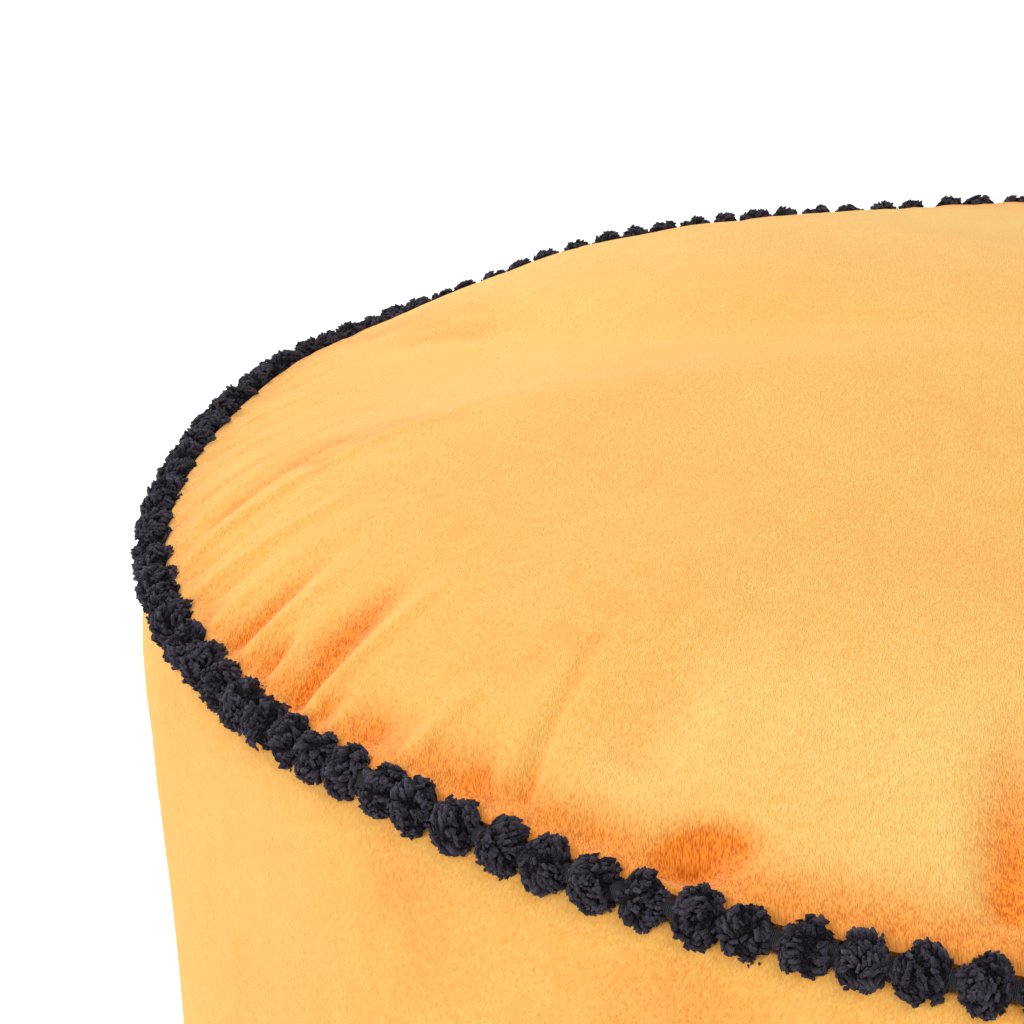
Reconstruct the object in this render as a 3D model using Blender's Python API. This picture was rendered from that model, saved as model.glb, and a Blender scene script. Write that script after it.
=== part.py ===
# Round floor pouf: one soft filled drum of velvet with a crowned top that is gathered into its seam,
# and a braid of small yarn pompoms sewn into that seam all the way round.
# Metres, +Z up. The origin is on the floor under the middle. An angle runs from the front (-Y)
# towards the left (-X), in degrees.
import math
from collections import namedtuple

import bpy

MM = 0.001

# Driving sizes
SEAM_RADIUS = 0.275
SEAM_HEIGHT = 0.305
CROWN_RISE = 0.046
POMPOM_COUNT = 140
POMPOM_RADIUS = 0.0062
CORE_RADIUS = 0.0024
CLOTH_GAP = 0.0003

# Where the cloth meets the braid, as turns round the braid's own middle from straight outwards
TOP_EDGE_TURN = 138
WALL_EDGE_TURN = 285
CHANNEL_STEPS = 5

# How many sides and how many rings one pompom has, with each ring's place along the braid and its
# share of the ball's height over the core
POMPOM_SIDES = 7
BallRing = namedtuple("BallRing", "place swell")
BALL_RINGS = (
    BallRing(-0.50, 0.00),
    BallRing(-0.34, 0.72),
    BallRing(0.00, 1.00),
    BallRing(0.34, 0.72),
)
SMALLEST_POMPOM = 0.93

# The body's stations round the drum: close together where the gathers are sharp
Sector = namedtuple("Sector", "start end step")
SECTORS = (
    Sector(0, 100, 2.0),
    Sector(100, 360, 3.25),
)

# The seam's line as it really runs: how far it stands out or in and up or down from a true circle,
# and how full the top panel is behind it (a higher power rises more steeply from the seam)
Rim = namedtuple("Rim", "angle out up fullness")
RIM = (
    Rim(0, -1.0, 1.6, 3.6),
    Rim(23, -1.4, 2.2, 3.7),
    Rim(35, -0.3, 2.6, 3.8),
    Rim(47, -0.1, -1.6, 3.8),
    Rim(60, 3.0, -1.3, 3.7),
    Rim(72, 4.7, -0.6, 3.5),
    Rim(84, 3.4, -0.4, 3.1),
    Rim(96, 1.1, 0.6, 2.6),
    Rim(108, -1.7, -2.9, 2.3),
    Rim(121, -2.6, -3.4, 2.1),
    Rim(133, -2.0, 1.2, 1.9),
    Rim(145, -1.5, 1.1, 1.8),
    Rim(157, 0.7, 0.4, 1.8),
    Rim(170, 1.5, 2.9, 1.7),
    Rim(190, 0.4, 1.0, 1.8),
    Rim(212, -1.2, -1.4, 2.0),
    Rim(233, 1.6, -2.2, 2.4),
    Rim(252, 3.8, -0.4, 2.8),
    Rim(271, 1.2, 1.2, 3.1),
    Rim(292, -1.8, 2.0, 3.3),
    Rim(314, -1.2, -0.8, 3.5),
    Rim(338, 1.0, -1.5, 3.6),
)

# Rows of the top panel, as distances inwards from its sewn edge
TOP_ROWS = (0.003, 0.008, 0.015, 0.024, 0.036, 0.052, 0.076, 0.112, 0.162, 0.218)

# Rows of the side and the base, measured from the seam's middle. The side bulges under the seam and
# is drawn in towards the floor, where it is sewn to the base in a shallow channel.
Row = namedtuple("Row", "out down")
SIDE_ROWS = (
    Row(3.6, 11.0),
    Row(4.9, 19.0),
    Row(5.2, 32.0),
    Row(4.4, 62.0),
    Row(3.0, 105.0),
    Row(1.8, 165.0),
    Row(0.4, 228.0),
    Row(-1.6, 272.0),
    Row(-3.4, 286.0),
    Row(-6.4, 289.5),
    Row(-5.2, 293.0),
    Row(-9.0, 300.0),
    Row(-18.0, 304.4),
    Row(-30.0, 305.0),
)

# How far down the side the seam's unevenness is felt, how soon below the braid a drag begins, and
# how far in over the top, as a share of its radius, the seam's ups and downs are felt
SIDE_UNEVEN_REACH = 0.150
SIDE_DRAG_EASE = 0.020
TOP_UNEVEN_SHARE = 0.6

# The main gathers of the top panel. Each runs inwards from the seam: a ridge has a plus height and a
# trough a minus height. The lean is how far it turns aside, in degrees, over a tenth of a metre.
Fold = namedtuple("Fold", "angle lean width height start reach")
TOP_FOLDS = (
    Fold(6, 2, 15, -4.5, 4, 95),
    Fold(14, 1, 18, -1.8, 34, 120),
    Fold(21, 0, 13, -5.5, 0, 26),
    Fold(28, 3, 5, -2.4, 6, 68),
    Fold(29, 6, 7, 1.8, 4, 44),
    Fold(27, 1, 22, -2.6, 26, 120),
    Fold(33, 0, 17, -3.6, 0, 15),
    Fold(37, 3, 6, 1.6, 2, 30),
    Fold(40, 0, 9, -3.0, 0, 12),
    Fold(44, 5, 6, 2.2, 2, 56),
    Fold(46, 6, 8, -4.6, 0, 46),
    Fold(49, 0, 4, -2.6, 0, 12),
    Fold(51, 5, 5, 1.6, 2, 40),
    Fold(54, 6, 7, -4.2, 0, 46),
    Fold(60, 5, 5, 1.8, 1, 92),
    Fold(63, 5, 5, -1.4, 2, 70),
    Fold(68, 6, 5, 1.0, 4, 66),
    Fold(72, 7, 6, -1.1, 4, 60),
    Fold(77, 8, 5, 1.0, 5, 62),
    Fold(83, 7, 6, -0.9, 6, 60),
    Fold(89, 6, 6, 0.9, 6, 54),
    Fold(96, 4, 8, -0.9, 6, 50),
)

# The far side's gathers, which follow one rule: evenly set round the seam, uneven in depth
FAR_FOLDS = 27
FAR_START = 103
FAR_END = 357
FAR_WIDTH = 8
FAR_HEIGHT = -3.2
FAR_REACH = 52
FAR_LEAN = 4

# A gather eases in over this length at its start, and widens by this share towards its far end
FOLD_EASE = 8
FOLD_NARROW = 0.8
FOLD_WIDEN = 0.6

# Soft drags down the side from the seam
SIDE_FOLDS = (
    Fold(18, 0, 20, -1.4, 0, 75),
    Fold(34, 1, 16, -1.6, 0, 60),
    Fold(41, -2, 12, 1.2, 4, 70),
    Fold(58, 0, 18, -1.0, 0, 55),
    Fold(120, 0, 22, -1.2, 0, 70),
    Fold(176, 0, 24, -1.4, 0, 80),
    Fold(228, 0, 20, 1.2, 0, 70),
    Fold(287, 0, 22, -1.5, 0, 80),
    Fold(335, 0, 20, -1.2, 0, 60),
)

VELVET_COLOUR = (0.90, 0.42, 0.10, 1.0)
YARN_COLOUR = (0.018, 0.016, 0.022, 1.0)


def clear_scene():
    for thing in list(bpy.data.objects):
        bpy.data.objects.remove(thing, do_unlink=True)


def make_material(name, colour, roughness):
    material = bpy.data.materials.new(name)
    material.use_nodes = True
    shader = material.node_tree.nodes["Principled BSDF"]
    shader.inputs["Base Color"].default_value = colour
    shader.inputs["Roughness"].default_value = roughness
    shader.inputs["Metallic"].default_value = 0.0
    material.diffuse_color = colour
    return material


def make_object(name, points, faces, material):
    mesh = bpy.data.meshes.new(name)
    mesh.from_pydata(points, [], faces)
    mesh.update()
    mesh.shade_smooth()
    mesh.materials.append(material)
    thing = bpy.data.objects.new(name, mesh)
    bpy.context.scene.collection.objects.link(thing)
    return thing


def place(angle, radius, height):
    turn = math.radians(angle)
    return (-radius * math.sin(turn), -radius * math.cos(turn), height)


def soft_step(share):
    share = min(max(share, 0.0), 1.0)
    return share * share * (3 - 2 * share)


def scatter(index, seed):
    """A fixed uneven value between 0 and 1 for one of many like pieces."""
    value = math.sin(index * 12.9898 + seed * 78.233) * 43758.5453
    return value - math.floor(value)


def rim_at(angle):
    """The seam's out, up and fullness at an angle, on a smooth closed curve through the table."""
    count = len(RIM)
    angle %= 360
    index = max(i for i in range(count) if RIM[i].angle <= angle)
    near = [RIM[(index + k) % count] for k in (-1, 0, 1, 2)]
    turns = [(index + k) // count * 360 for k in (-1, 0, 1, 2)]
    at = [rim.angle + turn for rim, turn in zip(near, turns)]
    span = at[2] - at[1]
    share = (angle - at[1]) / span
    found = []
    for column in ("out", "up", "fullness"):
        value = [getattr(rim, column) for rim in near]
        slope_in = (value[2] - value[0]) / (at[2] - at[0]) * span
        slope_out = (value[3] - value[1]) / (at[3] - at[1]) * span
        found.append(
            (2 * share**3 - 3 * share**2 + 1) * value[1]
            + (share**3 - 2 * share**2 + share) * slope_in
            + (3 * share**2 - 2 * share**3) * value[2]
            + (share**3 - share**2) * slope_out
        )
    return found[0] * MM, found[1] * MM, found[2]


def far_folds():
    pitch = (FAR_END - FAR_START) / FAR_FOLDS
    for index in range(FAR_FOLDS):
        angle = FAR_START + pitch * (index + 0.7 * scatter(index, 1))
        deep = 0.35 + 0.9 * scatter(index, 2)
        long = 0.5 + scatter(index, 3)
        sign = -0.5 if index % 3 == 2 else 1.0
        width = FAR_WIDTH * (0.8 + 0.5 * scatter(index, 4))
        yield Fold(angle, FAR_LEAN, width, FAR_HEIGHT * deep * sign, 1, FAR_REACH * long)


def fold_height(folds, angle, along):
    """How far the gathers lift or sink the cloth at an angle and a distance from the seam."""
    total = 0.0
    for fold in folds:
        middle = fold.angle + fold.lean * along / 0.1
        aside = (angle - middle + 180) % 360 - 180
        aside = math.radians(aside) * SEAM_RADIUS / MM
        across = along / MM
        if abs(aside) > 4 * fold.width or across > fold.reach:
            continue
        width = fold.width * (FOLD_NARROW + FOLD_WIDEN * across / fold.reach)
        ease_in = soft_step((across - fold.start) / FOLD_EASE + 0.5)
        ends = ease_in * (1 - soft_step(across / fold.reach))
        total += fold.height * MM * math.exp(-((aside / width) ** 2)) * ends
    return total


def crown_point(angle, inward, folds):
    """Radius and height of the top panel at a distance inwards from its sewn edge."""
    out, up, fullness = rim_at(angle)
    edge = math.radians(TOP_EDGE_TURN)
    edge_radius = SEAM_RADIUS + out + channel_radius() * math.cos(edge)
    edge_rise = channel_radius() * math.sin(edge)
    share = min(inward / edge_radius, 1.0)
    left = 1 - share
    loft = CROWN_RISE - edge_rise
    height = edge_rise + loft * (1 - left**fullness)
    slope = math.atan(loft * fullness * left ** (fullness - 1) / edge_radius)
    fold = fold_height(folds, angle, inward)
    radius = edge_radius - inward + fold * math.sin(slope)
    settle = 1 - soft_step(share / TOP_UNEVEN_SHARE)
    return radius, SEAM_HEIGHT + up * settle + height + fold * math.cos(slope)


def channel_radius():
    half_step = math.radians((WALL_EDGE_TURN - TOP_EDGE_TURN) / CHANNEL_STEPS / 2)
    return (POMPOM_RADIUS + CLOTH_GAP) / math.cos(half_step)


def body_profile(angle, folds):
    """Radius and height of each row at one angle, from the crown down and in to the base."""
    out, up, _ = rim_at(angle)
    rows = [crown_point(angle, inward, folds) for inward in reversed(TOP_ROWS)]
    for step in range(CHANNEL_STEPS + 1):
        turn = math.radians(TOP_EDGE_TURN + (WALL_EDGE_TURN - TOP_EDGE_TURN) * step / CHANNEL_STEPS)
        rows.append((
            SEAM_RADIUS + out + channel_radius() * math.cos(turn),
            SEAM_HEIGHT + up + channel_radius() * math.sin(turn),
        ))
    for row in SIDE_ROWS:
        down = row.down * MM
        fade = 1 - soft_step(down / SIDE_UNEVEN_REACH)
        drag = fold_height(SIDE_FOLDS, angle, down) * soft_step(down / SIDE_DRAG_EASE)
        rows.append((SEAM_RADIUS + out * fade + row.out * MM + drag, SEAM_HEIGHT + up * fade - down))
    return rows


def make_cushion_body(velvet):
    folds = TOP_FOLDS + tuple(far_folds())
    angles = []
    for sector in SECTORS:
        steps = round((sector.end - sector.start) / sector.step)
        angles += [sector.start + sector.step * i for i in range(steps)]
    points = [(0.0, 0.0, SEAM_HEIGHT + CROWN_RISE)]
    for angle in angles:
        points += [place(angle, radius, height) for radius, height in body_profile(angle, folds)]
    points.append((0.0, 0.0, 0.0))
    rows = len(TOP_ROWS) + CHANNEL_STEPS + 1 + len(SIDE_ROWS)
    bottom = len(points) - 1
    faces = []
    for index in range(len(angles)):
        here = 1 + index * rows
        after = 1 + (index + 1) % len(angles) * rows
        faces.append((0, after, here))
        for row in range(rows - 1):
            faces.append((here + row, after + row, after + row + 1, here + row + 1))
        faces.append((bottom, here + rows - 1, after + rows - 1))
    return make_object("cushion_body", points, faces, velvet)


def make_pompom_trim(yarn):
    """The pompoms and the core that they are tied on, as one beaded ring."""
    pitch = 360 / POMPOM_COUNT
    points = []
    for index in range(POMPOM_COUNT):
        size = SMALLEST_POMPOM + (1 - SMALLEST_POMPOM) * scatter(index, 5)
        for ring in BALL_RINGS:
            angle = pitch * (index + ring.place)
            out, up, _ = rim_at(angle)
            radius = CORE_RADIUS + (POMPOM_RADIUS * size - CORE_RADIUS) * ring.swell
            for side in range(POMPOM_SIDES):
                turn = 2 * math.pi * side / POMPOM_SIDES
                points.append(place(
                    angle,
                    SEAM_RADIUS + out + radius * math.cos(turn),
                    SEAM_HEIGHT + up + radius * math.sin(turn),
                ))
    rings = POMPOM_COUNT * len(BALL_RINGS)
    faces = []
    for ring in range(rings):
        here = ring * POMPOM_SIDES
        after = (ring + 1) % rings * POMPOM_SIDES
        for side in range(POMPOM_SIDES):
            other = (side + 1) % POMPOM_SIDES
            faces.append((here + side, here + other, after + other, after + side))
    return make_object("pompom_trim", points, faces, yarn)


clear_scene()
make_cushion_body(make_material("orange_velvet", VELVET_COLOUR, 0.85))
make_pompom_trim(make_material("charcoal_yarn", YARN_COLOUR, 0.95))
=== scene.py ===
import math

import bmesh
import bpy
import numpy as np
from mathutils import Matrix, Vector


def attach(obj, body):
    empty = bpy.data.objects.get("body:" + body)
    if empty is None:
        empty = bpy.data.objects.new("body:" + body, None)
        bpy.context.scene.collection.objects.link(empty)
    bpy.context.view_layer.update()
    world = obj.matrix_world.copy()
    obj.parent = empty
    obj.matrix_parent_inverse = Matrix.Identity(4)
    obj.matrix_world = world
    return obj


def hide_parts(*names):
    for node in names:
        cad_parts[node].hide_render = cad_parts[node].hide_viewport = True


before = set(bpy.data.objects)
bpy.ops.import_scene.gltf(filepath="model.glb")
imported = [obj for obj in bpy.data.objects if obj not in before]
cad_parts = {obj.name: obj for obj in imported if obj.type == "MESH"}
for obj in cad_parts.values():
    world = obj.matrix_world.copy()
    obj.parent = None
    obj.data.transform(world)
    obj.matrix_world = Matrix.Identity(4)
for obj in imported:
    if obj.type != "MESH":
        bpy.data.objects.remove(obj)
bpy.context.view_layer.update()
mm = 0.001
rng = np.random.default_rng(11)
print("frame loaded:", sorted(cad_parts))


# Small helpers

def softStep(share):
    share = np.clip(share, 0.0, 1.0)
    return share * share * (3 - 2 * share)


def scatter(index, seed):
    # one fixed uneven value from 0 to 1 for one of many like things
    value = math.sin(index * 12.9898 + seed * 78.233) * 43758.5453
    return value - math.floor(value)


def aroundAxis(angle, radius, height):
    turn = np.radians(angle)
    return np.stack([-radius * np.sin(turn), -radius * np.cos(turn), height + 0 * turn], axis=-1)


def smoothRead(values, place, closed):
    # rows of values read at uneven places along the first axis, on a smooth curve
    count = len(values)
    low = np.floor(place).astype(int)
    if not closed:
        low = np.minimum(low, count - 2)
    share = (place - low).reshape([-1] + [1] * (values.ndim - 1))
    near = []
    for step in (-1, 0, 1, 2):
        index = (low + step) % count if closed else np.clip(low + step, 0, count - 1)
        near.append(values[index])
    slopeIn = (near[2] - near[0]) / 2
    slopeOut = (near[3] - near[1]) / 2
    return (
        (2 * share**3 - 3 * share**2 + 1) * near[1]
        + (share**3 - 2 * share**2 + share) * slopeIn
        + (3 * share**2 - 2 * share**3) * near[2]
        + (share**3 - share**2) * slopeOut
    )


def meshFrom(name, points, faceSets, smooth=True):
    # faceSets holds arrays of triangles or quads that share the same points
    mesh = bpy.data.meshes.new(name)
    points = np.asarray(points, np.float32)
    loops = np.concatenate([faces.reshape(-1) for faces in faceSets])
    sizes = np.concatenate([np.full(len(faces), faces.shape[1]) for faces in faceSets])
    mesh.vertices.add(len(points))
    mesh.vertices.foreach_set("co", points.reshape(-1))
    mesh.loops.add(len(loops))
    mesh.loops.foreach_set("vertex_index", loops.astype(np.int32))
    mesh.polygons.add(len(sizes))
    mesh.polygons.foreach_set("loop_start", (np.cumsum(sizes) - sizes).astype(np.int32))
    mesh.polygons.foreach_set("use_smooth", np.full(len(sizes), smooth))
    mesh.update(calc_edges=True)
    mesh.validate()
    thing = bpy.data.objects.new(name, mesh)
    bpy.context.scene.collection.objects.link(thing)
    return thing


def pointValues(thing, name, values):
    attribute = thing.data.attributes.new(name, "FLOAT", "POINT")
    attribute.data.foreach_set("value", np.asarray(values, np.float32).reshape(-1))


# The seam that everything is set out from

seam = {
    "radius": 0.275,        # middle of the braid
    "height": 0.305,
    "crownRise": 0.046,     # top of the crown over the braid's middle
    "ballRadius": 0.0062,
    "channelRadius": 0.0067,
    "topEdgeTurn": 129,      # where the top panel meets the braid, round the braid's middle
    "lowEdge": (91, 13, 18), # it lies lower round this angle, this far, by so many degrees
    "wallEdgeTurn": 285,
    "topUnevenShare": 0.6,
    "middleFullness": 2.4,   # the crown is as full as this in its middle, from every side
    "sideUnevenReach": 0.150,
}

# angle, out mm, up mm, fullness of the top panel behind the seam
rimTable = np.array([
    (0, -1.0, 1.6, 3.6),
    (23, -1.4, 2.2, 3.7),
    (35, -0.3, 2.6, 3.8),
    (47, -0.1, -1.6, 3.8),
    (60, 3.0, -1.3, 3.7),
    (66, 3.4, -0.8, 3.7),
    (72, 2.4, -0.6, 3.6),
    (78, 0.7, -0.5, 2.5),
    (84, 0.1, -0.3, 1.6),
    (92, -0.9, 0.0, 1.3),
    (100, -1.0, -0.6, 1.5),
    (108, -1.7, -2.7, 3.4),
    (121, -2.6, -3.4, 4.3),
    (133, -2.0, 1.5, 2.7),
    (145, -1.5, 1.7, 2.3),
    (157, 0.7, 0.7, 1.6),
    (170, 1.5, 2.3, 1.2),
    (190, 0.4, 1.0, 1.6),
    (212, -1.2, -1.4, 2.2),
    (233, 1.6, -2.2, 2.5),
    (252, 3.8, -0.4, 2.8),
    (271, 1.2, 1.2, 3.1),
    (292, -1.8, 2.0, 3.3),
    (314, -1.2, -0.8, 3.5),
    (338, 1.0, -1.5, 3.6),
])


def rimAt(angle):
    # out, up and fullness on a smooth closed curve through the table
    angle = np.asarray(angle, float) % 360
    count = len(rimTable)
    index = np.searchsorted(rimTable[:, 0], angle, side="right") - 1
    steps = [index + k for k in (-1, 0, 1, 2)]
    at = [rimTable[s % count, 0] + s // count * 360 for s in steps]
    value = [rimTable[s % count, 1:] for s in steps]
    span = (at[2] - at[1])[..., None]
    share = (angle - at[1])[..., None] / span
    slopeIn = (value[2] - value[0]) / (at[2] - at[0])[..., None] * span
    slopeOut = (value[3] - value[1]) / (at[3] - at[1])[..., None] * span
    found = (
        (2 * share**3 - 3 * share**2 + 1) * value[1]
        + (share**3 - 2 * share**2 + share) * slopeIn
        + (3 * share**2 - 2 * share**3) * value[2]
        + (share**3 - share**2) * slopeOut
    )
    return found[..., 0] * mm, found[..., 1] * mm, found[..., 2]


# Gathers: angle, lean, width mm, height mm, start mm, reach mm. A ridge is plus, a trough minus.
# The lean is how far a gather turns aside, in degrees, over a tenth of a metre.
topFolds = [
    (4.4, 4, 8, -2.4, 5, 76),
    (19.7, -9, 9.5, -6.6, 0, 20),
    (25, 2, 16, -1.1, 18, 100),
    (26.6, 4, 5, 0.9, 3, 30),
    (28.2, 10, 2.4, -1.0, 2, 72),
    (29.8, 8, 4, 1.3, 3, 36),
    (31.2, 0, 15, -2.8, 0, 16),
    (24.4, 0, 11, -2.2, 0, 15),
    (36, 1, 4, 1.7, 2, 34),
    (39.2, 0, 6.5, -3.0, 0, 14),
    (41.9, 2, 2.6, 1.2, 1, 16),
    (43.1, 3, 1.9, -1.4, 0, 10),
    (44.2, 6, 3.2, 1.9, 1, 62),
    (45.9, 8, 4.6, -3.9, 0, 50),
    (47.6, 6, 5, -1.7, 9, 50),
    (48.1, 12, 2.2, 1.2, 1, 14),
    (49.5, 12, 2.3, -3.4, 1, 18),
    (51.8, 7, 2.8, 1.6, 1, 40),
    (53.4, 8, 3.7, -2.9, 0, 46),
    (56.2, 6, 3.0, 1.2, 1, 50),
    (58.4, 6, 3.4, -1.2, 2, 52),
    (60.1, 5, 2.4, 1.3, 1, 66),
    (61.9, 8, 2.0, -1.1, 2, 44),
    (63.6, 12, 2.6, 1.9, 3, 122),
    (65.4, 18, 3.2, -1.2, 8, 82),
    (66.5, 26, 2.6, 1.1, 6, 80),
    (70, 28, 3.0, -0.8, 6, 62),
    (75.5, 36, 2.6, 1.0, 4, 48),
    (79, 38, 3.0, -0.8, 4, 44),
    (84, 40, 2.8, 0.9, 4, 42),
    (90, 36, 3.4, -0.8, 5, 40),
    (97, 24, 3.6, 0.8, 5, 40),
]
sideFolds = [
    (18, 0, 20, -1.4, 0, 75),
    (34, 1, 16, -1.6, 0, 60),
    (41, -2, 12, 1.2, 4, 70),
    (58, 0, 18, -1.0, 0, 55),
    (120, 0, 22, -1.2, 0, 70),
    (176, 0, 24, -1.4, 0, 80),
    (228, 0, 20, 1.2, 0, 70),
    (287, 0, 22, -1.5, 0, 80),
    (335, 0, 20, -1.2, 0, 60),
]
farGathers = {"count": 27, "start": 103, "end": 357, "width": 8, "height": -2.3, "reach": 52, "lean": 4}
farGathers["calm"] = (150, 186, 0.2)  # from, to and share left: the photo's far rim is smooth
foldShape = {"ease": 8, "narrow": 0.8, "widen": 0.6}


def farFolds():
    pitch = (farGathers["end"] - farGathers["start"]) / farGathers["count"]
    folds = []
    for index in range(farGathers["count"]):
        angle = farGathers["start"] + pitch * (index + 0.7 * scatter(index, 1))
        deep = 0.35 + 0.9 * scatter(index, 2)
        long = 0.5 + scatter(index, 3)
        sign = -0.5 if index % 3 == 2 else 1.0
        width = farGathers["width"] * (0.8 + 0.5 * scatter(index, 4))
        height = farGathers["height"] * deep * sign
        calmFrom, calmTo, calmShare = farGathers["calm"]
        if calmFrom < angle < calmTo:
            height *= calmShare
        folds.append((angle, farGathers["lean"], width, height, 1, farGathers["reach"] * long))
    return folds


def foldHeight(folds, angle, along):
    total = np.zeros(np.broadcast(angle, along).shape)
    across = along / mm
    for middle, lean, width, height, start, reach in folds:
        aside = (angle - middle - lean * along / 0.1 + 180) % 360 - 180
        aside = np.radians(aside) * seam["radius"] / mm
        width = width * (foldShape["narrow"] + foldShape["widen"] * across / reach)
        ends = softStep((across - start) / foldShape["ease"] + 0.5) * (1 - softStep(across / reach))
        total += height * mm * np.exp(-((aside / width) ** 2)) * ends
    return total


def edgeTurnAt(angle):
    middle, reach, turn = seam["lowEdge"]
    return np.radians(seam["topEdgeTurn"] + turn * np.exp(-(((angle - middle) / reach) ** 2)))


def crownAt(angle, inward, fold):
    # radius and height of the top panel, inward from its sewn edge, with the gathers' height on it
    out, up, fullness = rimAt(angle)
    edge = edgeTurnAt(angle)
    edgeRadius = seam["radius"] + out + seam["channelRadius"] * np.cos(edge)
    edgeRise = seam["channelRadius"] * np.sin(edge)
    share = np.minimum(inward / edgeRadius, 1.0)
    left = 1 - share
    loft = seam["crownRise"] - edgeRise
    middle = softStep(share)
    height = edgeRise + loft * (1 - (1 - middle) * left**fullness - middle * left ** seam["middleFullness"])
    slope = np.arctan(loft * fullness * np.maximum(left, 1e-6) ** (fullness - 1) / edgeRadius)
    settle = 1 - softStep(share / seam["topUnevenShare"])
    radius = edgeRadius - inward + fold * np.sin(slope)
    return radius, seam["height"] + up * settle + height + fold * np.cos(slope)


# The velvet cover: a top panel, a side panel and a base panel, sewn edge to edge

cover = {
    "stations": [(0, 100, 310), (100, 360, 330)],   # from, to, how many: close where the photo looks
    "stitchRadius": 0.0030,  # the panels' edges, round the middle of the braid
    "edgeRows": 6,
    "topRows": 116,
    "topRowBunch": 1.7,      # a higher power packs the rows closer to the seam
    "topReach": 0.262,
    "seamRows": 4,
    "sideRows": 60,
    "baseRows": 6,
    "fill": 0.9,
}
# out mm and down mm from the seam's middle: the bulge, the drawn-in foot and the base seam's groove
sideProfile = np.array([
    (0.8, 2.9), (2.4, 5.6), (3.6, 9.5), (4.9, 18.0), (5.2, 32.0), (4.4, 62.0), (3.0, 105.0), (1.8, 165.0),
    (0.4, 228.0), (-1.6, 272.0), (-3.4, 286.0), (-6.4, 289.5), (-5.2, 293.0), (-9.0, 300.0), (-18.0, 304.4),
    (-30.0, 305.0),
])
basePoint = 11               # the row of the base seam in that table
puckers = {"height": 0.45, "reach": 11, "width": 3.2}
# how strongly shade is painted on the top just inside the seam, round its angles
seamShadeBand = {
    "angles": (0, 24, 50, 62, 75, 130, 180, 300, 360),
    "strengths": (0.85, 1.0, 0.95, 0.45, 0.3, 0.35, 0.5, 0.7, 0.85),
    "reach": 0.0085,
    "ridge": 1.4,            # a gather this high, in mm, takes the painted shade away again
}


def smoothThrough(table, count, lowest):
    # points along a smooth curve through the table's rows, with as many between each two
    found = smoothRead(table, np.linspace(0, len(table) - 1, count), closed=False)
    found[:, 1] = np.minimum(found[:, 1], lowest)
    return found


def puckerHeight(angle, along):
    # each pompom's tie pulls the cloth in a little at the seam
    total = np.zeros(np.broadcast(angle, along).shape)
    across = along / mm
    for index in range(braid["count"]):
        middle = 360 / braid["count"] * (index + 0.5 + 0.5 * (scatter(index, 7) - 0.5))
        aside = np.radians((angle - middle + 180) % 360 - 180) * seam["radius"] / mm
        near = np.abs(aside[:, 0]) < 3 * puckers["width"]
        deep = puckers["height"] * (0.3 + 1.4 * scatter(index, 8))
        reach = puckers["reach"] * (0.5 + scatter(index, 9))
        fade = 1 - softStep(across / reach)
        total[near] -= deep * mm * np.exp(-((aside[near] / puckers["width"]) ** 2)) * fade
    return total


def gridFaces(columns, rows):
    column = np.arange(columns)
    after = (column + 1) % columns
    row = np.arange(rows - 1)
    here, there = column[:, None] * rows + row, after[:, None] * rows + row
    return np.stack([here, there, there + 1, here + 1], axis=-1).reshape(-1, 4)


def clothLayer(thing, corners):
    # cloth coordinates in metres, one pair for each face corner
    layer = thing.data.uv_layers.new(name="cloth")
    layer.data.foreach_set("uv", np.asarray(corners, np.float32).reshape(-1))


def ringAngles():
    return np.concatenate([np.linspace(a, b, n, endpoint=False) for a, b, n in cover["stations"]])


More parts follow.
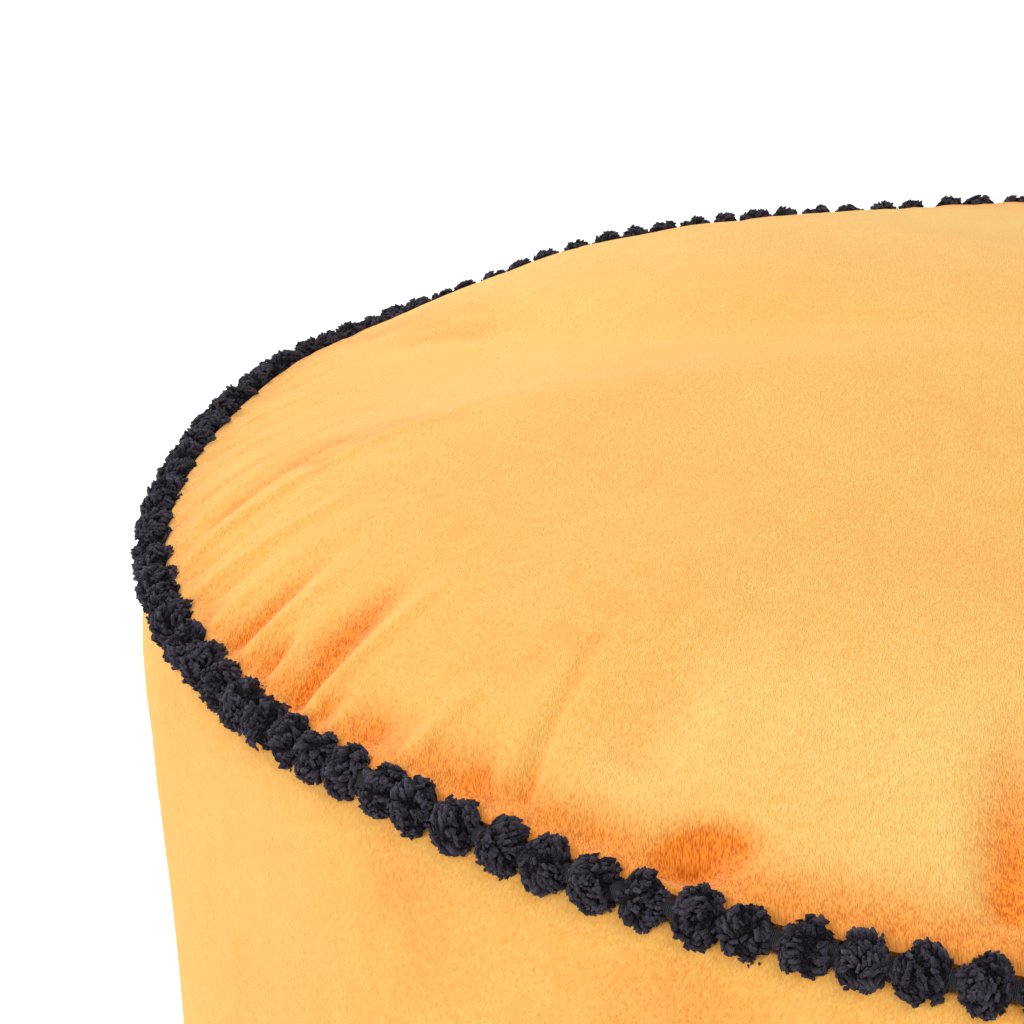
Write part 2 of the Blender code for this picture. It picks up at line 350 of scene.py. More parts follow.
def makeTopPanel(angles, swell):
    angle = angles[:, None]
    rowShare = np.linspace(1, 0, cover["topRows"] + 1)
    inward = rowShare[:-1] ** cover["topRowBunch"] * cover["topReach"]
    inward = np.append(inward, 0.0)
    fold = foldHeight(topFolds + farFolds(), angle, inward[None, :])
    fold += puckerHeight(angle, inward[None, :]) + swell("top", angles, inward)
    radius, height = crownAt(angle, inward[None, :], fold)
    points = aroundAxis(angle, radius, height)
    # from the crown's edge the cloth rolls down to its stitches
    out, up, _ = rimAt(angle)
    edge = edgeTurnAt(angle)
    stitch = aroundAxis(
        angle,
        seam["radius"] + out + cover["stitchRadius"] * np.cos(edge),
        seam["height"] + up + cover["stitchRadius"] * np.sin(edge),
    )
    share = np.linspace(0, 1, cover["edgeRows"] + 1)[1:, None]
    last = points[:, -1:]
    roll = last + (stitch - last) * share
    roll[..., 2] += 0.0006 * np.sin(share[..., 0] * math.pi)
    grid = np.concatenate([points, roll], axis=1)
    columns, rows = grid.shape[:2]
    top = np.array([[0, 0, grid[:, 0, 2].mean()]])
    quads = gridFaces(columns, rows)
    column = np.arange(columns)
    cap = np.stack([np.full(columns, columns * rows), (column + 1) % columns * rows, column * rows], axis=-1)
    allPoints = np.concatenate([grid.reshape(-1, 3), top])
    thing = meshFrom("topPanel", allPoints, [quads, cap])
    flat = allPoints[:, :2]
    clothLayer(thing, np.concatenate([flat[quads].reshape(-1, 2), flat[cap].reshape(-1, 2)]))
    # painted shade: the gathers' heights are kept so that the colour darkens in their troughs
    paintedCreaseShade = np.concatenate([fold / mm, np.zeros((columns, cover["edgeRows"]))], axis=1)
    seamShadeStrength = np.interp(angles, seamShadeBand["angles"], seamShadeBand["strengths"])[:, None]
    # painted shadow of the braid: the top darkens just inside the seam, less on a gather's ridge
    paintedSeamShade = np.concatenate([np.exp(-((inward / seamShadeBand["reach"]) ** 2)), np.ones(cover["edgeRows"])])[None, :]
    paintedSeamShade = paintedSeamShade * seamShadeStrength * np.clip(1 - paintedCreaseShade / seamShadeBand["ridge"], 0.2, 1.25)
    pointValues(thing, "paintedCreaseShade", np.append(paintedCreaseShade.reshape(-1), 0))
    pointValues(thing, "paintedSeamShade", np.append(paintedSeamShade.reshape(-1), 0))
    # painted light and sheen: paler spots on the top, strongest at each spot's middle
    paintedLight = np.zeros(len(allPoints))
    for middle, inside, size, strength in paintedLightSpots:
        place = aroundAxis(np.array(float(middle)), seam["radius"] - inside * mm, 0.0)
        away = np.linalg.norm(allPoints[:, :2] - place[:2], axis=1) / (size * mm)
        paintedLight += strength * np.exp(-(away**2))
    pointValues(thing, "paintedLight", paintedLight)
    return thing


def sideGrid(angles, profile, swell):
    angle = angles[:, None]
    out, up, _ = rimAt(angle)
    down = profile[None, :, 1] * mm
    fade = 1 - softStep(down / seam["sideUnevenReach"])
    drag = foldHeight(sideFolds, angle, down) * softStep(down / 0.02) + puckerHeight(angle, down) * 0.7
    drag += swell("side", angles, down[0])
    points = aroundAxis(
        angle, seam["radius"] + out * fade + profile[None, :, 0] * mm + drag, seam["height"] + up * fade - down
    )
    return points, drag


def makeSidePanel(angles, swell):
    profile = smoothThrough(sideProfile[: basePoint + 1], cover["sideRows"], sideProfile[basePoint, 1])
    angle = angles[:, None]
    points, drag = sideGrid(angles, profile, swell)
    # the hidden turn under the braid, up to the top panel's stitches
    out, up, _ = rimAt(angle)
    share = np.linspace(0, 1, cover["seamRows"] + 1)[None, :-1]
    turns = edgeTurnAt(angle) * (1 - share) + math.radians(seam["wallEdgeTurn"]) * share
    turned = aroundAxis(
        angle,
        seam["radius"] + out + cover["stitchRadius"] * np.cos(turns),
        seam["height"] + up + cover["stitchRadius"] * np.sin(turns),
    )
    grid = np.concatenate([turned, points], axis=1)
    columns, rows = grid.shape[:2]
    quads = gridFaces(columns, rows)
    thing = meshFrom("sidePanel", grid.reshape(-1, 3), [quads])
    # unrolled, with the last column's right edge at the full turn
    along = np.radians(np.append(angles, 360.0)) * seam["radius"]
    column, row = np.divmod(quads, rows)
    column = np.where((column == 0) & (quads.max(axis=1, keepdims=True) >= (columns - 1) * rows), columns, column)
    clothLayer(thing, np.stack([along[column], grid[column % columns, row, 2]], axis=-1))
    paintedCreaseShade = np.concatenate([np.zeros((columns, cover["seamRows"])), drag / mm], axis=1)
    # painted shadow of the braid: the wall darkens just under the seam and on the hidden turn
    paintedSeamShade = np.concatenate([np.ones(cover["seamRows"]), 0.6 * np.exp(-profile[:, 1] / 5.0)])[None, :] + 0 * paintedCreaseShade
    pointValues(thing, "paintedCreaseShade", paintedCreaseShade)
    pointValues(thing, "paintedSeamShade", paintedSeamShade)
    return thing


def makeBasePanel(angles, swell):
    profile = smoothThrough(sideProfile[basePoint:], 14, sideProfile[-1, 1])
    points, _ = sideGrid(angles, profile, swell)
    angle = angles[:, None]
    inner = np.linspace(seam["radius"] + sideProfile[-1, 0] * mm, 0.02, cover["baseRows"] + 1)[1:]
    grid = np.concatenate([points, aroundAxis(angle, inner[None, :] + 0 * angle, 0 * angle * inner)], axis=1)
    columns, rows = grid.shape[:2]
    quads = gridFaces(columns, rows)
    column = np.arange(columns)
    foot = np.stack([np.full(columns, columns * rows), column * rows + rows - 1,
                     (column + 1) % columns * rows + rows - 1], axis=-1)[:, ::-1]
    allPoints = np.concatenate([grid.reshape(-1, 3), [[0, 0, 0]]])
    thing = meshFrom("basePanel", allPoints, [quads, foot])
    flat = allPoints[:, :2]
    clothLayer(thing, np.concatenate([flat[quads].reshape(-1, 2), flat[foot].reshape(-1, 2)]))
    # painted shade: the base panel darkens in the groove of the base seam
    paintedSeamShade = np.zeros((columns, rows))
    paintedSeamShade[:, :14] = 0.7 * np.exp(-np.arange(14) / 2.0)
    pointValues(thing, "paintedCreaseShade", np.zeros(len(allPoints)))
    pointValues(thing, "paintedSeamShade", np.append(paintedSeamShade.reshape(-1), 0))
    return thing


# Cloth simulation: the cover is set out coarsely with spare cloth at its seams, held at the seams and
# pressed out by the filling. How far it buckles is read back as a height for the panels above.

filling = {
    "columns": 360,
    "topRows": 46,
    "sideRows": 36,
    "pressure": 4.0,
    "bending": 0.3,
    "spare": 0.120,          # cloth gathered into a seam beyond what it needs, as a share of its length
    "topReach": 0.060,       # how far in from the seam that spare cloth lies
    "sideReach": 0.045,
    "handShare": 0.25,       # less of it where the gathers are given in the table
    "handAngles": (12, 108),
    "wallShare": 0.45,
    "hold": 0.004,            # how firmly the filling keeps the cloth in its place near a seam
    "holdFar": 0.10,         # and away from one
    "farFrom": 0.085,
    "frames": 20,
    "broadWaves": 10,        # waves round the pouf that count as its broad shape
    "cap": 2.4,              # mm that a point may move
}


def spareShare(angle):
    # the spare cloth lies in uneven bunches round the seam
    bunch = np.interp((angle * 0.2) % 72, np.arange(73), [scatter(k % 72, 21) for k in range(73)])
    inside = softStep((angle - filling["handAngles"][0]) / 10) * softStep((filling["handAngles"][1] - angle) / 10)
    return (0.45 + 0.55 * bunch) * (1 - (1 - filling["handShare"]) * inside)


def heldShare(fromSeam):
    return filling["hold"] + (filling["holdFar"] - filling["hold"]) * softStep(fromSeam / filling["farFrom"])


def clothGrid(name, points, spare, held):
    # one panel let loose under the filling's pressure, and how far out each point of it moved
    columns, rows = points.shape[:2]
    uneven = np.random.default_rng(23).normal(scale=0.00015, size=points.shape)
    thing = meshFrom(name, (points + uneven).reshape(-1, 3), [gridFaces(columns, rows)])
    count = columns * rows
    normals, start = np.empty(count * 3, np.float32), np.empty(count * 3, np.float32)
    thing.data.vertex_normals.foreach_get("vector", normals)
    thing.data.vertices.foreach_get("co", start)
    for groupName, weights in (("held", held), ("spare", spare)):
        group = thing.vertex_groups.new(name=groupName)
        for index, weight in enumerate(np.broadcast_to(weights, (columns, rows)).reshape(-1)):
            group.add([index], float(weight), "REPLACE")
    modifier = thing.modifiers.new("cloth", "CLOTH")
    cloth = modifier.settings
    cloth.quality = 5
    cloth.mass = 0.3
    cloth.tension_stiffness = cloth.compression_stiffness = 15
    cloth.shear_stiffness = 5
    cloth.bending_stiffness = filling["bending"]
    cloth.air_damping = 3
    cloth.use_pressure = True
    cloth.uniform_pressure_force = filling["pressure"]
    cloth.effector_weights.gravity = 0
    cloth.vertex_group_mass = "held"
    cloth.vertex_group_shrink = "spare"
    cloth.shrink_min = 0.0
    cloth.shrink_max = -filling["spare"]
    modifier.collision_settings.use_collision = False
    scene = bpy.context.scene
    for number in range(1, filling["frames"] + 1):
        scene.frame_set(number)
    settled = thing.evaluated_get(bpy.context.evaluated_depsgraph_get())
    end = np.empty(count * 3, np.float32)
    settled.data.vertices.foreach_get("co", end)
    moved = ((end - start).reshape(-1, 3) * normals.reshape(-1, 3)).sum(axis=1).reshape(columns, rows) / mm
    scene.frame_set(1)
    mesh = thing.data
    bpy.data.objects.remove(thing)
    bpy.data.meshes.remove(mesh)
    # the broad swell is already in the panels' own shape, so only the buckling is kept
    waves = np.fft.rfft(moved, axis=0)
    waves[: filling["broadWaves"]] = 0
    moved = np.fft.irfft(waves, n=columns, axis=0)
    print(name, "settled, moved mm:", round(float(moved.min()), 2), round(float(moved.max()), 2),
          "spread", round(float(moved.std()), 3))
    return filling["cap"] * np.tanh(moved / filling["cap"]) * mm


def settleCover():
    columns = filling["columns"]
    angles = np.linspace(0, 360, columns, endpoint=False)
    angle = angles[:, None]
    spare = spareShare(angle)
    inward = np.linspace(1, 0, filling["topRows"]) ** 1.4 * cover["topReach"]
    radius, height = crownAt(angle, inward[None, :], 0.0)
    held = heldShare(inward)
    held[-1] = 1.0
    topMoved = clothGrid("topCloth", aroundAxis(angle, radius, height),
                         spare * np.exp(-((inward / filling["topReach"]) ** 2)), held)
    profile = smoothThrough(sideProfile[: basePoint + 1], filling["sideRows"], sideProfile[basePoint, 1])
    points, _ = sideGrid(angles, profile, lambda panel, angles, along: 0.0)
    down = profile[:, 1] * mm
    nearEnd = np.minimum(down - down[0], down[-1] - down)
    held = heldShare(nearEnd)
    held[0] = held[-1] = 1.0
    sideMoved = clothGrid("sideCloth", points,
                          filling["wallShare"] * spare * np.exp(-((nearEnd / filling["sideReach"]) ** 2)), held)
    grids = {"top": (inward[::-1], topMoved[:, ::-1]), "side": (down, sideMoved)}

    def swell(panel, angles, along):
        # the middle of a panel lies smooth
        places, moved = grids[panel]
        fromSeam = along if panel == "top" else np.minimum(along, down[-1] - along)
        fade = 1 - softStep((fromSeam - 0.06) / 0.05)
        rows = np.interp(along, places, np.arange(len(places)))
        turned = smoothRead(moved, angles / 360 * columns, closed=True)
        return smoothRead(turned.T, rows, closed=False).T * fade

    return swell


# The braid: a thread-wrapped core and tufted balls of chopped yarn

braid = {
    "count": 140,
    "coreRadius": 0.0022,
    "coreRings": 1400,
    "coreSides": 8,
    "tufts": 400,            # yarn ends in one whole ball
    "tuftRadius": 0.00055,
    "across": 0.0070,        # half a ball's size across the braid and along it
    "along": 0.0065,
    "uneven": 0.04,
    "stray": 0.24,           # how far a yarn end lies off the way its neighbours lie
    "clefts": 5,
    "cleftDepth": 0.17,
    "inside": (140, 278),    # no yarn end lies between these turns, where the cushion is
    "groups": 4,             # the balls are joined in this many pieces
}
# one yarn end, which rises out of the ball and lies over: share of the ball's radius out and aside,
# degrees that it has turned over, width, and painted light from shade at the root to a highlight at the tip
tuftRings = ((0.66, -0.03, 10, 0.9, 0.0), (0.91, 0.06, 42, 1.1, 0.5), (0.95, 0.30, 92, 0.75, 1.0))


def makeCore():
    angle = np.linspace(0, 360, braid["coreRings"], endpoint=False)[:, None]
    turn = np.linspace(0, 2 * math.pi, braid["coreSides"], endpoint=False)[None, :]
    out, up, _ = rimAt(angle)
    points = aroundAxis(
        angle + 0 * turn,
        seam["radius"] + out + braid["coreRadius"] * np.cos(turn),
        seam["height"] + up + braid["coreRadius"] * np.sin(turn),
    )
    rings, sides = braid["coreRings"], braid["coreSides"]
    ring, side = np.arange(rings)[:, None], np.arange(sides)[None, :]
    here, there = ring * sides, (ring + 1) % rings * sides
    other = (side + 1) % sides
    quads = np.stack([here + side, here + other, there + other, there + side], axis=-1).reshape(-1, 4)
    thing = meshFrom("braidCore", points.reshape(-1, 3), [quads])
    layer = thing.data.uv_layers.new(name="cloth")
    along = np.stack([ring, ring, ring + 1, ring + 1], -1) + 0 * side[..., None]
    around = np.stack([side, side + 1, side + 1, side], -1) + 0 * ring[..., None]
    coords = np.stack([along / rings * 2 * math.pi * seam["radius"], around / sides * 0.015], -1)
    layer.data.foreach_set("uv", coords.astype(np.float32).reshape(-1))
    return thing


def tuftFaces():
    faces = []
    for ring in (0, 4):
        for k in range(4):
            after = (k + 1) % 4
            faces.append((ring + k, ring + after, ring + after + 4, ring + k + 4))
    faces.append((8, 9, 10, 11))
    return np.array(faces)


def unit(vectors):
    return vectors / np.linalg.norm(vectors, axis=-1, keepdims=True)


def evenDirections(count):
    step = np.arange(count) + 0.5
    z = 1 - 2 * step / count
    turn = step * math.pi * (3 - math.sqrt(5))
    r = np.sqrt(1 - z * z)
    return np.stack([r * np.cos(turn), r * np.sin(turn), z], axis=-1)


def makeTufts(direction):
    # the yarn ends of one ball of radius 1, with painted shade at their roots, a painted highlight at their tips, and a
    # random tone
    wave = rng.normal(scale=2.4, size=(3, 3))
    field = np.sin(direction @ wave + rng.uniform(0, 2 * math.pi, 3)) @ rng.normal(size=(3, 3))
    cleft = np.zeros(len(direction))
    for _ in range(braid["clefts"]):
        # clefts part the yarn into clumps, whose ends lean away from them
        normal = unit(rng.normal(size=3))
        aside = direction @ normal - rng.uniform(-0.7, 0.7)
        near = np.exp(-((aside / 0.13) ** 2))
        cleft += near
        field += (np.sign(aside) * near)[:, None] * normal * 1.2
    lie = unit(field) + rng.normal(scale=braid["stray"], size=direction.shape)
    lie = unit(lie - (lie * direction).sum(axis=1, keepdims=True) * direction)
    side = np.cross(lie, direction)
    length = 1.0 + rng.normal(scale=braid["uneven"], size=len(direction)) - braid["cleftDepth"] * np.minimum(cleft, 1.3)
    reach = rng.uniform(0.5, 1.15, len(direction))
    wide = braid["tuftRadius"] / braid["across"] * rng.uniform(0.75, 1.25, len(direction))
    # painted shade: yarn ends in a cleft are darker; the rest is a random tone for each yarn end
    toneAndCleftShade = 0.45 + 0.55 * rng.random(len(direction)) - 0.5 * np.minimum(cleft, 1.0)
    points, paintedLightsAndTones = [], []
    for out, aside, turned, width, paintedLightAndTone in tuftRings:
        over = math.radians(turned)
        middle = direction * (out * length)[:, None] + lie * (aside * reach)[:, None]
        other = lie * math.cos(over) - direction * math.sin(over)
        for k in range(4):
            turn = math.pi / 2 * (k + 0.5)
            offset = side * math.cos(turn) + other * math.sin(turn)
            ragged = rng.normal(scale=0.13, size=direction.shape)
            points.append(middle + (offset * width + ragged) * wide[:, None])
            paintedLightsAndTones.append(paintedLightAndTone * np.maximum(toneAndCleftShade, 0))
    return np.stack(points, axis=1).reshape(-1, 3), np.stack(paintedLightsAndTones, axis=1).reshape(-1)


def makeBalls(name, indices):
    pitch = 360 / braid["count"]
    even = evenDirections(braid["tufts"])
    heart = evenDirections(42)
    heartFaces, shapeFaces = hullOf(heart), tuftFaces()
    allPoints, allPaintedLightAndTone, tuftSets, heartSets = [], [], [], []
    offset = 0
    for index in indices:
        angle = pitch * (index + 0.16 * (rng.random() - 0.5))
        out, up, _ = rimAt(angle)
        outAhead, upAhead, _ = rimAt(angle + 0.3)
        centre = aroundAxis(angle, seam["radius"] + out, seam["height"] + up)
        ahead = aroundAxis(angle + 0.3, seam["radius"] + outAhead, seam["height"] + upAhead)
        # each ball leans its own way on the core
        axis = unit(unit(ahead - centre) + rng.normal(scale=0.16, size=3))
        spin = np.linalg.qr(rng.normal(size=(3, 3)))[0]
        direction = unit(even @ spin + rng.normal(scale=0.05, size=even.shape))
        outward = unit(centre * (1, 1, 0))
        turn = np.degrees(np.arctan2(direction[:, 2], direction @ outward)) % 360
        direction = direction[(turn < braid["inside"][0]) | (turn > braid["inside"][1])]
        tufts, paintedLightAndTone = makeTufts(direction)
        size = 1 - 0.06 * rng.random()
        # a ball is shorter along the braid than across it
        shorter = 1 - braid["along"] / braid["across"]
        placed = np.concatenate([tufts, heart * 0.82]) * size * braid["across"]
        placed -= shorter * (placed @ axis)[:, None] * axis
        allPoints.append(centre + placed)
        # the heart inside the ball takes the darkest painted shade
        allPaintedLightAndTone += [paintedLightAndTone, np.zeros(len(heart))]
        base = np.arange(len(direction))[:, None, None] * 12
        tuftSets.append((shapeFaces[None] + base).reshape(-1, 4) + offset)
        heartSets.append(heartFaces + offset + len(tufts))
        offset += len(placed)
    thing = meshFrom(name, np.concatenate(allPoints), [np.concatenate(tuftSets), np.concatenate(heartSets)])
    pointValues(thing, "paintedLightAndTone", np.concatenate(allPaintedLightAndTone))
    return thing


def hullOf(points):
    # triangles of the convex hull of an even ball of points
    work = bmesh.new()
    for point in points:
        work.verts.new(point)
    work.verts.index_update()
    bmesh.ops.convex_hull(work, input=list(work.verts))
    bmesh.ops.triangulate(work, faces=list(work.faces))
    bmesh.ops.recalc_face_normals(work, faces=list(work.faces))
    faces = np.array([[corner.index for corner in face.verts] for face in work.faces])
    work.free()
    return faces


# Finishes

velvet = {
    "deep": (0.765, 0.325, 0.050),
    "pale": (0.745, 0.455, 0.116),
    "brushedPileAndPaintedLight": (0.760, 0.560, 0.190),   # painted light and sheen: paler pile in the listed spots
    # painted shade in the folds' troughs and along the seam, lighter and deeper
    "trough": (0.88, 0.265, 0.026),
    "troughDeep": (0.55, 0.100, 0.005),
    "grain": (0.00027, 0.0010),         # one tuft of pile, across and along the nap
    "clumps": (0.00096, 0.0025),
    "patches": (0.0067, 0.0125),
    "handMarks": (0.050, 0.077),
    "nap": 13,               # degrees that the nap lies off the front to back line
    "roughness": 0.9,
    "sheen": 0.34,
    "sheenRoughness": 0.5,
    "sheenTint": (1.0, 0.80, 0.44),
    "bump": 0.5,
}
# where light and sheen are painted paler on the top: angle, mm in from the seam, size mm, strength
paintedLightSpots = (
    (11, 38, 44, 0.44),
    (8, 64, 30, 0.26),
    (22, 48, 20, 0.30),
    (24, 22, 14, 0.25),
    (104, 60, 80, 0.28),
    (160, 90, 70, 0.25),
    (215, 60, 60, 0.35),
    (262, 80, 55, 0.30),
    (318, 45, 60, 0.40),
)
yarn = {
    # the yarn's colour runs from painted shade, dark, at the roots to a painted highlight, light, at the tips
    "dark": (0.0010, 0.0008, 0.0010),
    "light": (0.070, 0.061, 0.084),
    "roughness": 0.95,
    "sheen": 0.04,
    "sheenTint": (0.85, 0.82, 1.0),
}


def newMaterial(name):
    material = bpy.data.materials.new(name)
    material.use_nodes = True
    nodes = material.node_tree.nodes
    nodes.clear()
    output = nodes.new("ShaderNodeOutputMaterial")
    shader = nodes.new("ShaderNodeBsdfPrincipled")
    material.node_tree.links.new(shader.outputs[0], output.inputs["Surface"])
    return material, nodes, material.node_tree.links, shader


def noise(nodes, links, vector, size, detail, name, turn=0):
    # size is one mark's width and length in metres, turned in the cloth's own plane
    mapping = nodes.new("ShaderNodeMapping")
    mapping.vector_type = "TEXTURE"
    mapping.inputs["Scale"].default_value = size
    mapping.inputs["Rotation"].default_value = (0, 0, math.radians(turn))
    links.new(vector, mapping.inputs["Vector"])
    texture = nodes.new("ShaderNodeTexNoise")
    texture.label = name
    texture.inputs["Scale"].default_value = 1.0
    texture.inputs["Detail"].default_value = detail
    links.new(mapping.outputs[0], texture.inputs["Vector"])
    return texture.outputs["Fac"]


def ranged(nodes, links, value, fromLow, fromHigh, toLow, toHigh):
    node = nodes.new("ShaderNodeMapRange")
    for name, number in (("From Min", fromLow), ("From Max", fromHigh), ("To Min", toLow), ("To Max", toHigh)):
        node.inputs[name].default_value = number
    links.new(value, node.inputs["Value"])
    return node.outputs[0]


def mixed(nodes, links, share, first, second):
    node = nodes.new("ShaderNodeMix")
    node.data_type = "RGBA"
    links.new(share, node.inputs[0])
    for socket, colour in ((node.inputs[6], first), (node.inputs[7], second)):
        if isinstance(colour, tuple):
            socket.default_value = (*colour, 1.0)
        else:
            links.new(colour, socket)
    return node.outputs[2]


def summed(nodes, links, first, second, kind="ADD"):
    node = nodes.new("ShaderNodeMath")
    node.operation = kind
    for socket, value in ((node.inputs[0], first), (node.inputs[1], second)):
        if isinstance(value, (int, float)):
            socket.default_value = value
        else:
            links.new(value, socket)
    return node.outputs[0]


def makeVelvet():
    material, nodes, links, shader = newMaterial("orangeVelvet")
    coords = nodes.new("ShaderNodeUVMap")
    coords.uv_map = "cloth"
    vector = coords.outputs[0]
    nap = velvet["nap"]
    pile = noise(nodes, links, vector, (*velvet["grain"], 1), 1.0, "pile", nap)
    tufts = noise(nodes, links, vector, (*velvet["clumps"], 1), 1.0, "pile clumps", nap)
    brushedPileAndPaintedLight = noise(nodes, links, vector, (*velvet["patches"], 1), 2.0, "brushed patches", nap)
    mottle = noise(nodes, links, vector, (*velvet["handMarks"], 1), 1.0, "hand marks", 40)
    grain = summed(nodes, links, ranged(nodes, links, pile, 0.25, 0.75, -0.2, 0.85),
                   ranged(nodes, links, tufts, 0.25, 0.75, -0.14, 0.5))
    broad = summed(nodes, links, ranged(nodes, links, brushedPileAndPaintedLight, 0.3, 0.7, -0.11, 0.11),
                   ranged(nodes, links, mottle, 0.3, 0.7, -0.12, 0.12))
    share = summed(nodes, links, grain, broad)
    colour = mixed(nodes, links, share, velvet["deep"], velvet["pale"])
    # painted light and sheen: the top turns paler in the listed spots
    paintedLight = nodes.new("ShaderNodeAttribute")
    paintedLight.attribute_name = "paintedLight"
    paintedLightShare = summed(nodes, links, paintedLight.outputs["Fac"], ranged(nodes, links, share, 0.2, 0.9, 0.6, 1.3), "MULTIPLY")
    colour = mixed(nodes, links, paintedLightShare, colour, velvet["brushedPileAndPaintedLight"])
    # painted shade: where the cloth folds in and where it turns into a seam, the colour turns to a deeper orange with
    # its own grain
    paintedCreaseShade = nodes.new("ShaderNodeAttribute")
    paintedCreaseShade.attribute_name = "paintedCreaseShade"
    paintedSeamShade = nodes.new("ShaderNodeAttribute")
    paintedSeamShade.attribute_name = "paintedSeamShade"
    paintedShadeShare = ranged(nodes, links, paintedCreaseShade.outputs["Fac"], -0.2, -2.1, 0.0, 1.0)
    paintedShadeShare = summed(nodes, links, paintedShadeShare, ranged(nodes, links, paintedSeamShade.outputs["Fac"], 0.0, 1.0, 0.0, 0.8), "MAXIMUM")
    paintedShadeGrain = ranged(nodes, links, grain, 0.1, 0.75, 0.0, 1.0)
    paintedShadeColour = mixed(nodes, links, paintedShadeGrain, velvet["troughDeep"], velvet["trough"])
    colour = mixed(nodes, links, paintedShadeShare, colour, paintedShadeColour)
    links.new(colour, shader.inputs["Base Color"])
    shader.inputs["Roughness"].default_value = velvet["roughness"]
    shader.inputs["Specular IOR Level"].default_value = 0.15
    shader.inputs["Sheen Weight"].default_value = velvet["sheen"]
    shader.inputs["Sheen Roughness"].default_value = velvet["sheenRoughness"]
    shader.inputs["Sheen Tint"].default_value = (*velvet["sheenTint"], 1.0)
    bump = nodes.new("ShaderNodeBump")
    bump.inputs["Strength"].default_value = velvet["bump"]
    bump.inputs["Distance"].default_value = 0.0004
    links.new(grain, bump.inputs["Height"])
    links.new(bump.outputs[0], shader.inputs["Normal"])
    return material


def makeYarn():
    material, nodes, links, shader = newMaterial("charcoalYarn")
    paintedLightAndTone = nodes.new("ShaderNodeAttribute")
    paintedLightAndTone.attribute_name = "paintedLightAndTone"
    coords = nodes.new("ShaderNodeTexCoord")
    fibres = noise(nodes, links, coords.outputs["Object"], (0.00031, 0.00031, 0.00031), 3.0, "fibres")
    # painted shade and highlight from the attribute, with a random fibre tone on top
    share = summed(nodes, links, paintedLightAndTone.outputs["Fac"], ranged(nodes, links, fibres, 0.3, 0.7, -0.3, 0.3))
    links.new(mixed(nodes, links, share, yarn["dark"], yarn["light"]), shader.inputs["Base Color"])
    shader.inputs["Roughness"].default_value = yarn["roughness"]
    shader.inputs["Specular IOR Level"].default_value = 0.1
    shader.inputs["Sheen Weight"].default_value = yarn["sheen"]
    shader.inputs["Sheen Roughness"].default_value = 0.5
    shader.inputs["Sheen Tint"].default_value = (*yarn["sheenTint"], 1.0)
    bump = nodes.new("ShaderNodeBump")
    bump.inputs["Strength"].default_value = 0.6
    bump.inputs["Distance"].default_value = 0.0003
    links.new(fibres, bump.inputs["Height"])
    links.new(bump.outputs[0], shader.inputs["Normal"])
    return material


def makeThread():
    material, nodes, links, shader = newMaterial("charcoalThread")
    coords = nodes.new("ShaderNodeUVMap")
    coords.uv_map = "cloth"
    wave = nodes.new("ShaderNodeTexWave")
    wave.inputs["Scale"].default_value = 700
    wave.inputs["Distortion"].default_value = 1.5
    links.new(coords.outputs[0], wave.inputs["Vector"])
    links.new(mixed(nodes, links, wave.outputs["Fac"], (0.004, 0.004, 0.005), (0.03, 0.028, 0.035)),
              shader.inputs["Base Color"])
    shader.inputs["Roughness"].default_value = 0.7
    bump = nodes.new("ShaderNodeBump")
    bump.inputs["Strength"].default_value = 0.8
    bump.inputs["Distance"].default_value = 0.0003
    links.new(wave.outputs["Fac"], bump.inputs["Height"])
    links.new(bump.outputs[0], shader.inputs["Normal"])
    return material


# Studio

studio = {
    "world": 0.58,
    "floor": 0.97,
    "lights": {
        "key": {"at": (-2.2, 1.1, 1.6), "size": 1.1, "power": 50},
        "low": {"at": (-1.9, -2.3, 0.9), "size": 1.4, "power": 31},
        "top": {"at": (1.2, -1.9, 2.6), "size": 2.0, "power": 47},
        "back": {"at": (1.8, 3.6, 2.8), "size": 2.4, "power": 22},
    },
}
view = {
    "distance": 0.772,       # in front of the middle
    "rise": 0.3025,          # over the braid
    "yaw": -13.55,
    "pitch": 22.2,
    "lens": 102.1,
}


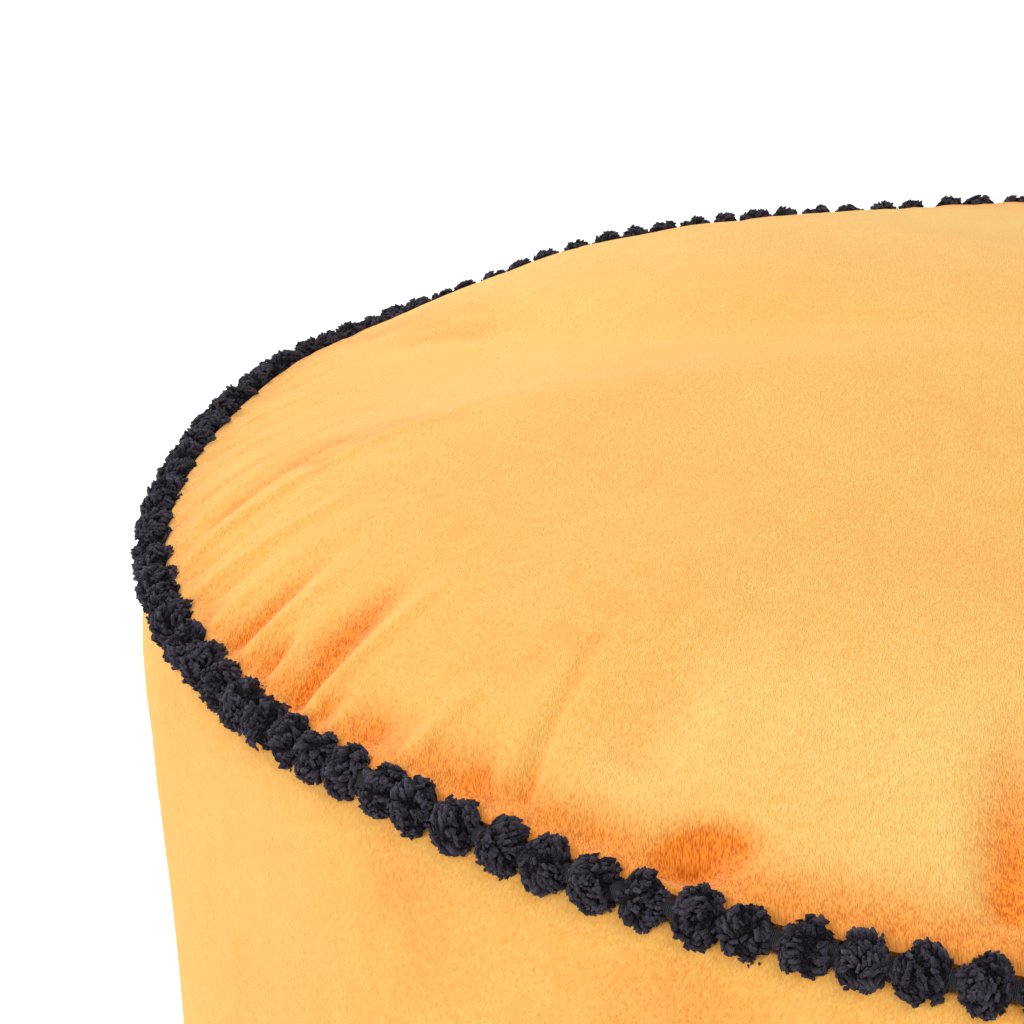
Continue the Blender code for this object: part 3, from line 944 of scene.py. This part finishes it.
def makeStudio():
    world = bpy.data.worlds.new("studioWhite")
    world.use_nodes = True
    background = world.node_tree.nodes["Background"]
    background.inputs["Color"].default_value = (1, 1, 1, 1)
    background.inputs["Strength"].default_value = studio["world"]
    bpy.context.scene.world = world
    for name, settings in studio["lights"].items():
        light = bpy.data.lights.new(name + "Light", "AREA")
        light.shape = "DISK"
        light.size = settings["size"]
        light.energy = settings["power"]
        lamp = bpy.data.objects.new(name + "Light", light)
        lamp.location = settings["at"]
        aim = Vector((0, 0, seam["height"])) - Vector(settings["at"])
        lamp.rotation_euler = aim.to_track_quat("-Z", "Y").to_euler()
        bpy.context.scene.collection.objects.link(lamp)
    half = 12.0
    corners = np.array([(-half, -half, 0), (half, -half, 0), (half, half, 0), (-half, half, 0)], float)
    floor = meshFrom("floor", corners - (0, 0, 0.0004), [np.array([[0, 1, 2, 3]])], smooth=False)
    material, nodes, links, shader = newMaterial("paleFloor")
    shader.inputs["Base Color"].default_value = (studio["floor"],) * 3 + (1.0,)
    shader.inputs["Roughness"].default_value = 0.8
    floor.data.materials.append(material)


def makeCamera():
    yaw, pitch = math.radians(view["yaw"]), math.radians(view["pitch"])
    look = Vector((math.sin(yaw) * math.cos(pitch), math.cos(yaw) * math.cos(pitch), -math.sin(pitch)))
    camera = bpy.data.cameras.new("photoCamera")
    camera.lens = view["lens"]
    camera.sensor_width = 36
    thing = bpy.data.objects.new("photoCamera", camera)
    thing.location = (0, -view["distance"], seam["height"] + view["rise"])
    thing.rotation_euler = look.to_track_quat("-Z", "Y").to_euler()
    bpy.context.scene.collection.objects.link(thing)
    bpy.context.scene.camera = thing


makeCamera()
makeStudio()
bpy.context.scene.view_settings.view_transform = "Standard"
print("studio set")

angles = ringAngles()
swell = settleCover()
velvetFinish = makeVelvet()
for makePanel in (makeTopPanel, makeSidePanel, makeBasePanel):
    panel = makePanel(angles, swell)
    panel.data.materials.append(velvetFinish)
    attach(panel, "root")
    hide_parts("cushion_body")
    print(panel.name, "made:", sum(len(face.vertices) - 2 for face in panel.data.polygons), "triangles")

corePiece = makeCore()
corePiece.data.materials.append(makeThread())
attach(corePiece, "root")
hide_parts("pompom_trim")

yarnFinish = makeYarn()
groups = np.array_split(np.arange(braid["count"]), braid["groups"])
for number, group in enumerate(groups, 1):
    ballPiece = makeBalls(f"pompoms{number}", group)
    ballPiece.data.materials.append(yarnFinish)
    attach(ballPiece, "root")
    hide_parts("pompom_trim")
    print(ballPiece.name, "made:", len(ballPiece.data.polygons), "faces")
